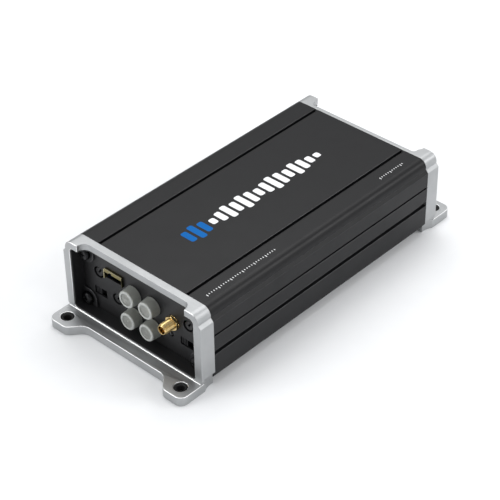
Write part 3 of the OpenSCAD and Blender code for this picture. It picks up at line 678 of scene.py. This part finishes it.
# %% Grommets
GROMMET_R = 3.8
GROMMET_HOLE_R = 2.25
lip = 0.7
low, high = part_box("foot_grommets")
tall = (high.z - low.z) / MM
outline = [(GROMMET_HOLE_R, lip), (GROMMET_HOLE_R, tall - lip)]
outline += arc(GROMMET_HOLE_R + lip, tall - lip, lip, 180, 90)
outline += arc(GROMMET_R - lip, tall - lip, lip, 90, 0)
outline += [(GROMMET_R, 0), (GROMMET_HOLE_R + lip, 0), (GROMMET_HOLE_R, lip)]
foot = Vector((low.x + GROMMET_R * MM, low.y + GROMMET_R * MM, low.z))
far = high - low - Vector((2, 2, 0)) * GROMMET_R * MM
bush = turned("bush", outline, foot, "+Z", 48)
bushes = [bush]
for step in (Vector((far.x, 0, 0)), Vector((0, far.y, 0)), Vector((far.x, far.y, 0))):
    bushes.append(copied(bush, "bush", step))
mount(ease(joined("foot_bushes", bushes), 0), "chassis", "black_rubber", "foot_grommets")

# %% [markdown]
# ## Phono jacks and dust caps
# Each jack is a nickel-plated shell with a rolled rim and a shallow groove, round a gold contact. Its
# dust cap is a soft tapered cup with a round rim and a dished end, where the mould's gate left a
# small nub. A cup is drawn as one outline that runs inside and out, so the wall has its real
# thickness. Its two rims are thicker, so they get a paler finish.

# %% Jack shells
JACK_R = 4.15
JACK_WALL = 0.6
JACK_FLOOR = 1.5
CONTACT_HOLE_R = 1.9
low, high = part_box("rca_shells")
deep = (high.y - low.y) / MM
rim = JACK_WALL / 2
groove = [(JACK_R, 8.0), (JACK_R - 0.12, 7.8), (JACK_R - 0.12, 7.4), (JACK_R, 7.2)]
outline = [(JACK_R - JACK_WALL, JACK_FLOOR), (JACK_R - JACK_WALL, deep - rim)]
outline += arc(JACK_R - rim, deep - rim, rim, 180, 0, 8) + groove
outline += [(JACK_R, 0), (CONTACT_HOLE_R, 0), (CONTACT_HOLE_R, JACK_FLOOR), outline[0]]
corner = Vector((low.x + JACK_R * MM, high.y, low.z + JACK_R * MM))
pitch = high - low - Vector((2, 0, 2)) * JACK_R * MM
shell = turned("shell", outline, corner, "-Y", 48)
shells = [shell]
for step in (Vector((pitch.x, 0, 0)), Vector((0, 0, pitch.z)), Vector((pitch.x, 0, pitch.z))):
    shells.append(copied(shell, "shell", step))
mount(ease(joined("phono_shells", shells), 0), "chassis", "nickel_plate", "rca_shells")

# %% Dust caps
CAP_TIP_R = 5.1
CAP_RECESS_R = 3.6
CAP_END = 1.0
NUB_R = 0.85


def dust_cap(name, node):
    """A tapered cup whose wall and end are drawn inside and out, from its mouth to its dished tip."""
    low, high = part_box(node)
    mouth_r = (high.x - low.x) / 2 / MM
    tall = (high.y - low.y) / MM
    bore = JACK_R + 0.05
    lip = 0.75
    outline = [(0, tall - CAP_END), (bore - 0.4, tall - CAP_END), (bore, tall - CAP_END - 0.4)]
    outline += [(bore, 0.3)]
    outline += [(bore + 0.25, 0), (mouth_r - 0.25, 0)]
    outline += arc(mouth_r - 0.3, 0.3, 0.3, -45, 0, 3)
    outline += arc(CAP_TIP_R - lip, tall - lip, lip, 4, 90, 7)
    outline += arc(CAP_RECESS_R + 0.25, tall - 0.25, 0.25, 90, 180, 4)
    outline += [(CAP_RECESS_R - 0.15, tall - 0.5), (NUB_R + 0.3, tall - 0.5)]
    outline += [(NUB_R, tall - 0.42), (NUB_R * 0.7, tall - 0.22), (0, tall - 0.18)]
    return ease(turned(name, outline, back_of(node), "-Y"), 0, angle=50)


TIP_RIM = 0.7 * MM
MOUTH_RIM = 0.35 * MM

for number in range(1, 5):
    node = f"rca_cap_{number}"
    cap = mount(dust_cap(f"dust_cap_{number}", node), node, "cap_grey", node)
    cap.data.materials.append(vinyl_rim)
    low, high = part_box(node)
    middle = centre(node)
    for face in cap.data.polygons:
        out = Vector((face.center.x - middle.x, 0, face.center.z - middle.z)).length
        tip = out > CAP_RECESS_R * MM and face.center.y < low.y + TIP_RIM
        if tip or face.center.y > high.y - MOUTH_RIM:
            face.material_index = 1

# %% [markdown]
# ## Antenna connector
# The threaded barrel is the piece that the eye goes to. A thread could be separate rings, but a real
# one is a single helix. The barrel is spun with closely spaced rings, and each point is then drawn in
# by the depth of the thread at its turn and height, so the groove winds round the barrel. The nut is
# a six-sided bar with its corners turned off, and the washer is a plain ring.

# %% Threaded barrel
THREAD_R = 3.175
THREAD_PITCH = 25.4 / 36
THREAD_DEPTH = 0.36
FLANGE_Y = -87 * MM
FLANGE_R = 4.6
FLANGE_DEEP = 1.6
TAIL_R = 2.4
NECK_R = 3.1
BACK_BORE_R = 1.6
MOUTH_BORE_R = 2.3
MOUTH_DEEP = 4.9
RINGS = 44
low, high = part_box("antenna_jack")
nut_low, nut_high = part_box("antenna_nut")
axis = centre("antenna_pin")
tail = (high.y - low.y) / MM
bare = (high.y - nut_low.y) / MM
flange = (high.y - FLANGE_Y) / MM
thread_end = tail - 0.7
outline = [(BACK_BORE_R, 0), (TAIL_R, 0), (TAIL_R, flange - FLANGE_DEEP)]
outline += [(FLANGE_R, flange - FLANGE_DEEP), (FLANGE_R, flange), (NECK_R, flange), (NECK_R, bare)]
outline += [(THREAD_R, bare + (thread_end - bare) * i / RINGS) for i in range(RINGS + 1)]
outline += [(THREAD_R - 0.45, tail - 0.25), (THREAD_R - 0.6, tail)]
outline += [(MOUTH_BORE_R + 0.15, tail), (MOUTH_BORE_R, tail - 0.15), (MOUTH_BORE_R, tail - MOUTH_DEEP)]
outline += [(BACK_BORE_R, tail - MOUTH_DEEP), (BACK_BORE_R, 0)]
base = Vector((axis.x, high.y, axis.z))
barrel = turned("antenna_barrel", outline, base, "-Y", 56)
for point in barrel.data.vertices:
    out = Vector((point.co.x - axis.x, 0, point.co.z - axis.z))
    height = (high.y - point.co.y) / MM
    if out.length > (THREAD_R - 0.01) * MM and bare < height < thread_end + 0.01:
        turn = math.atan2(out.z, out.x) / math.tau
        wave = abs(((height / THREAD_PITCH - turn) % 1) * 2 - 1)
        fade = min(1, (height - bare) / 0.5)
        point.co -= out.normalized() * THREAD_DEPTH * wave * fade * MM
mount(ease(barrel, 0, angle=60), "chassis", "gold_plate", "antenna_jack")

# %% Nut and washer
CORNER_R = 4.62
NUT_BORE_R = 3.12
WASHER_BORE_R = 3.15
thick = (nut_high.y - nut_low.y) / MM
nut_base = Vector((axis.x, nut_high.y, axis.z))
nut = rod("antenna_hex_nut", nut_base, "-Y", CORNER_R * MM, thick * MM, 6)
chamfer = [(0, 0), (CORNER_R - 0.45, 0), (CORNER_R + 0.05, 0.4), (CORNER_R + 0.05, thick - 0.4)]
chamfer += [(CORNER_R - 0.45, thick), (0, thick)]
cut(nut, turned("chamfer", chamfer, nut_base, "-Y"), "INTERSECT")
cut(nut, rod("bore", nut_base + Vector((0, MM, 0)), "-Y", NUT_BORE_R * MM, (thick + 2) * MM))
mount(ease(nut, 0.1, 1), "chassis", "gold_plate", "antenna_nut")

low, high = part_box("antenna_washer")
flat = (high.y - low.y) / MM
rim = (high.x - low.x) / 2 / MM
outline = [(WASHER_BORE_R, 0), (rim - 0.1, 0), (rim, 0.1), (rim, flat - 0.1), (rim - 0.1, flat)]
outline += [(WASHER_BORE_R + 0.1, flat), (WASHER_BORE_R, flat - 0.1), outline[0]]
washer = turned("antenna_lock_washer", outline, Vector((axis.x, high.y, axis.z)), "-Y")
mount(ease(washer, 0), "chassis", "gold_plate", "antenna_washer")

# %% [markdown]
# ## Media port
# The port is a folded sheet-metal shell round a plastic tongue. A block gets its mouth by inset and
# extrude, as one would do by hand. The top and side walls stand proud of the panel. The side walls
# end in small flared lips, the top one folds down with a notch in it, and the bottom wall is cut
# back inside. The sheet is dull tin plate, and the bevels on its edges take the brighter nickel
# finish as a painted highlight.

# %% Port shell
WALL = 0.35 * MM
BACK_WALL = 0.4 * MM
LIP = 0.3 * MM
HOOD = 0.5 * MM
FOLD = 1.3 * MM
low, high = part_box("media_port_shell")
port = block("media_port_hood", low, high)
edit(port)
pick(port, "faces", lambda f: f.normal.y < -0.9)
bpy.ops.mesh.inset(thickness=WALL)
bpy.ops.mesh.extrude_region_move(
    TRANSFORM_OT_translate={"value": (0, high.y - low.y - BACK_WALL, 0)})
for lip_at, flare in (
    (lambda c: c.z > high.z - WALL, (0, -HOOD, -FOLD)),
    (lambda c: c.x < low.x + WALL, (-LIP, -HOOD, 0)),
    (lambda c: c.x > high.x - WALL, (LIP, -HOOD, 0)),
):
    bpy.ops.mesh.select_all(action="DESELECT")
    pick(port, "faces", lambda f: f.normal.y < -0.9 and f.calc_center_median().y < low.y + 0.01 * MM
         and lip_at(f.calc_center_median()))
    bpy.ops.mesh.extrude_region_move(TRANSFORM_OT_translate={"value": flare})
leave_edit()
print("port mouth opened and its lips flared")

# %% Port floor and notch
SET_BACK = 4.7 * MM
NOTCH_W = 2.0 * MM
NOTCH_TOP = 0.7 * MM
NOTCH_FOOT = 2.5 * MM
cut(port, block("floor_cut", (low.x + WALL, low.y - MM, low.z - MM),
                (high.x - WALL, low.y + SET_BACK, low.z + WALL + 0.05 * MM)))
notch = low.x + (high.x - low.x) * 0.36 - 0.9 * MM
cut(port, block("notch_cut", (notch, low.y - MM, high.z - NOTCH_FOOT),
                (notch + NOTCH_W, low.y + 0.1 * MM, high.z - NOTCH_TOP)))
# The edge bevels take the brighter nickel finish: a painted highlight.
mount(ease(port, 0.1, 1, edge=nickel), "chassis", "nickel_plate", "media_port_shell", material=tinned)

# %% Port tongue and its contacts
mount(eased_copy("media_port_tongue", "media_port_insert", 0.12), "chassis", "connector_black",
      "media_port_tongue")
STRIP_PITCH = 2.4 * MM
STRIP_W = 1.0 * MM
STRIP_L = 5.7 * MM
low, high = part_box("media_port_tongue")
bar = centre("media_port_tongue")
strip_z = bar.z + 0.5 * MM
strips = []
for step in (-1.5, -0.5, 0.5, 1.5):
    x = bar.x + step * STRIP_PITCH
    start = low.y + 0.3 * MM
    strips.append(block("strip", (x - STRIP_W / 2, start, strip_z - 0.08 * MM),
                        (x + STRIP_W / 2, start + STRIP_L, strip_z + 0.02 * MM)))
mount(ease(joined("media_port_contacts", strips), 0.03, 1), "chassis", "gold_plate")

# %% [markdown]
# ## Trimmers, switches and lamp
# The trimmers' rotors sit just behind round holes, each with one slot from the middle to its rim,
# so that its setting can be read. The slide switches have a ribbed lever in a window. The ribs are
# made by slicing the lever's face into strips and pushing every other strip in. The lamp is a small
# dome.

# %% Trimmer rotors
SLOT_ANGLE = math.radians(35)
SLOT_W = 1.1
FACE_R = 2.65
FACE_DEEP = 1.5


def rotor(name, node):
    """A stepped disc with a slot from just past its middle to its rim."""
    low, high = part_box(node)
    radius = (high.x - low.x) / 2 / MM
    tall = (high.y - low.y) / MM
    outline = [(0, 0), (radius, 0), (radius, tall - FACE_DEEP), (FACE_R, tall - FACE_DEEP)]
    outline += [(FACE_R, tall - 0.2), (FACE_R - 0.2, tall), (0, tall)]
    base = back_of(node)
    piece = turned(name, outline, base, "-Y", 48)
    slot = block("slot", (-SLOT_W / 2 * MM, -1.2 * MM, -0.45 * MM),
                 (SLOT_W / 2 * MM, MM, (radius + 1) * MM))
    slot.rotation_euler = (0, SLOT_ANGLE, 0)
    slot.location = (base.x, low.y + 0.25 * MM, base.z)
    return ease(cut(piece, settle(slot)), 0.06, 1)


for number in range(1, 4):
    node = f"trimmer_rotor_{number}"
    mount(rotor(f"trimmer_{number}", node), node, "control_black", node)

# %% Switch levers
RIBS = 4
RIB_DEEP = 0.8 * MM


def lever(name, node):
    """A block whose front is cut into strips, with every other strip pushed in."""
    low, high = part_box(node)
    piece = block(name, low, high)
    strip = (high.x - low.x) / (2 * RIBS - 1)
    edit(piece)
    for i in range(1, 2 * RIBS - 1):
        bpy.ops.mesh.select_all(action="SELECT")
        bpy.ops.mesh.bisect(plane_co=(low.x + i * strip, 0, 0), plane_no=(1, 0, 0))
    bpy.ops.mesh.select_all(action="DESELECT")
    bpy.ops.mesh.select_mode(type="FACE")

    def sunk(face):
        place = int((face.calc_center_median().x - low.x) / strip)
        return face.normal.y < -0.9 and place % 2 == 1

    pick(piece, "faces", sunk)
    bpy.ops.mesh.extrude_region_move(TRANSFORM_OT_translate={"value": (0, RIB_DEEP, 0)})
    leave_edit()
    return ease(piece, 0.08, 1)


for number in (1, 2):
    node = f"switch_lever_{number}"
    mount(lever(f"switch_slider_{number}", node), node, "control_black", node)

# %% Lamp
low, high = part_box("status_led")
lamp_r = (high.x - low.x) / 2 / MM
tall = (high.y - low.y) / MM
outline = [(0, 0), (lamp_r, 0)] + arc(0, tall - lamp_r, lamp_r, 0, 90, 10)
lamp = turned("status_lamp", outline, back_of("status_led"), "-Y", 40)
mount(ease(lamp, 0), "chassis", "led_clear", "status_led")

# %% [markdown]
# ## Supply terminals, fuses and loudspeaker socket
# These fill the other end. Their CAD shapes are right, so each becomes a clean copy with eased
# edges, and so do the bodies behind the jacks, switches and trimmers. The fuses are clear green
# plastic round two flat blades. The terminal screws are turned, with a hexagon socket.

# %% Connector bodies
COPIES = (
    ("power_terminal_block", "supply_terminal_body", 0.3, "connector_black"),
    ("power_clamps", "supply_wire_clamps", 0.15, "terminal_brass"),
    ("fuse_holder", "fuse_socket", 0.3, "connector_black"),
    ("speaker_socket", "speaker_header", 0.25, "connector_black"),
    ("speaker_pins", "speaker_contacts", 0.12, "gold_plate"),
    ("rca_block", "phono_jack_body", 0.2, "connector_black"),
    ("switch_frames", "switch_cases", 0.15, "connector_black"),
    ("trimmer_housings", "trimmer_cases", 0.15, "trimmer_blue"),
)
for node, name, width, slot in COPIES:
    mount(eased_copy(node, name, width), "chassis", slot, node)
for number in (1, 2):
    for kind, slot, width in (("body", "fuse_green", 0.35), ("blades", "zinc_steel", 0.1)):
        node = f"fuse_{number}_{kind}"
        mount(eased_copy(node, f"blade_fuse_{number}_{kind}", width), f"fuse_{number}", slot, node)

# %% Terminal screws
KEY_R = 1.15
KEY_FLOOR = 3.2
RING_COUNT = 12
RING_DEEP = 0.16


def socket_screw(name, node):
    """A screw with plain rings for its thread and a hexagon socket in its top."""
    low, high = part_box(node)
    radius = (high.x - low.x) / 2 / MM
    tall = (high.z - low.z) / MM
    outline = [(0, 0), (radius - 0.5, 0), (radius, 0.5)]
    for i in range(1, RING_COUNT):
        shrink = RING_DEEP if i % 2 else 0
        outline.append((radius - shrink, 0.5 + (tall - 0.9) * i / RING_COUNT))
    outline += [(radius, tall - 0.3), (radius - 0.3, tall), (0, tall)]
    base = Vector(((low.x + high.x) / 2, (low.y + high.y) / 2, low.z))
    piece = turned(name, outline, base, "+Z", 40)
    key = rod("key", base + Vector((0, 0, KEY_FLOOR * MM)), "+Z", KEY_R * MM, 4 * MM, 6)
    return ease(cut(piece, key), 0)


for number in range(1, 4):
    node = f"power_screw_{number}"
    mount(socket_screw(f"terminal_screw_{number}", node), node, "zinc_steel", node)

# %% [markdown]
# ## Print on the top
# The top carries a plain level-meter design in screen ink: rounded white bars of different lengths,
# with three blue ones at one end, and two fine scales beside the edge. Ink is a skin, so each mark is
# a thin raised slab with rounded corners.

# %% Ink marks
INK = 0.04 * MM
top = cad_box[1][2]


def mark(x0, x1, y0, y1, corner):
    """A flat slab of ink on the top face, between two corners in mm."""
    slab = block("mark", (x0 * MM, y0 * MM, top - INK), (x1 * MM, y1 * MM, top + INK))
    edit(slab, "EDGE")
    pick(slab, "edges", upright_edge)
    bpy.ops.mesh.bevel(offset=corner * MM, segments=4, affect="EDGES")
    leave_edit()
    return slab


# %% Level bars
BAR_MID = -1.0
BAR_W = 4.0
BAR_PITCH = 6.0
BAR_ROUND = 1.2
FIRST_WHITE = -33.0
FIRST_BLUE = -51.6
WHITE_LEVELS = (5, 8.6, 12, 9.2, 13, 10.4, 7, 10, 13, 11, 8, 11.8, 9.4, 6.2, 4.2)
BLUE_LEVELS = (9.8, 13, 9.8)


def level_bars(name, levels, first, ink):
    """A row of bars of the given lengths in mm, centred on the meter's axis."""
    row = []
    for i, level_mm in enumerate(levels):
        y = first + i * BAR_PITCH
        row.append(mark(BAR_MID - level_mm / 2, BAR_MID + level_mm / 2,
                        y - BAR_W / 2, y + BAR_W / 2, BAR_ROUND))
    mount(joined(name, row), "chassis", "cast_silver", material=ink)


level_bars("white_level_bars", WHITE_LEVELS, FIRST_WHITE, white_ink)
level_bars("blue_level_bars", BLUE_LEVELS, FIRST_BLUE, blue_ink)

# %% Fine scales
SCALE_X = 39.6
TICK_PITCH = 1.75
TICK_W = 0.45
LONG_TICK = 1.6
SHORT_TICK = 0.9
ticks = []
for start, stop in ((-81.0, -28.5), (56.5, 78.5)):
    for i in range(int((stop - start) / TICK_PITCH)):
        y = start + i * TICK_PITCH
        reach = LONG_TICK if i % 5 == 0 else SHORT_TICK
        ticks.append(mark(SCALE_X, SCALE_X + reach, y, y + TICK_W, 0.1))
mount(joined("fine_scales", ticks), "chassis", "cast_silver", material=white_ink)

# %% [markdown]
# ## Everything else
# The boards, transistors, capacitors and the toroid are inside and keep their CAD shapes, and so do
# the jacks' contacts and the antenna connector's pin and insulator. Each node that no piece has
# replaced gets the finish of its slot.

# %% Finishes for the CAD nodes that stay
kept = 0
for part in frame["record"]["subparts"]:
    node = frame["nodes"][part["node"]]
    if not node.hide_render:
        node.data.materials.clear()
        node.data.materials.append(FINISH_OF_SLOT[part["material_slot"]])
        kept += 1
print(kept, "CAD nodes keep their shape")
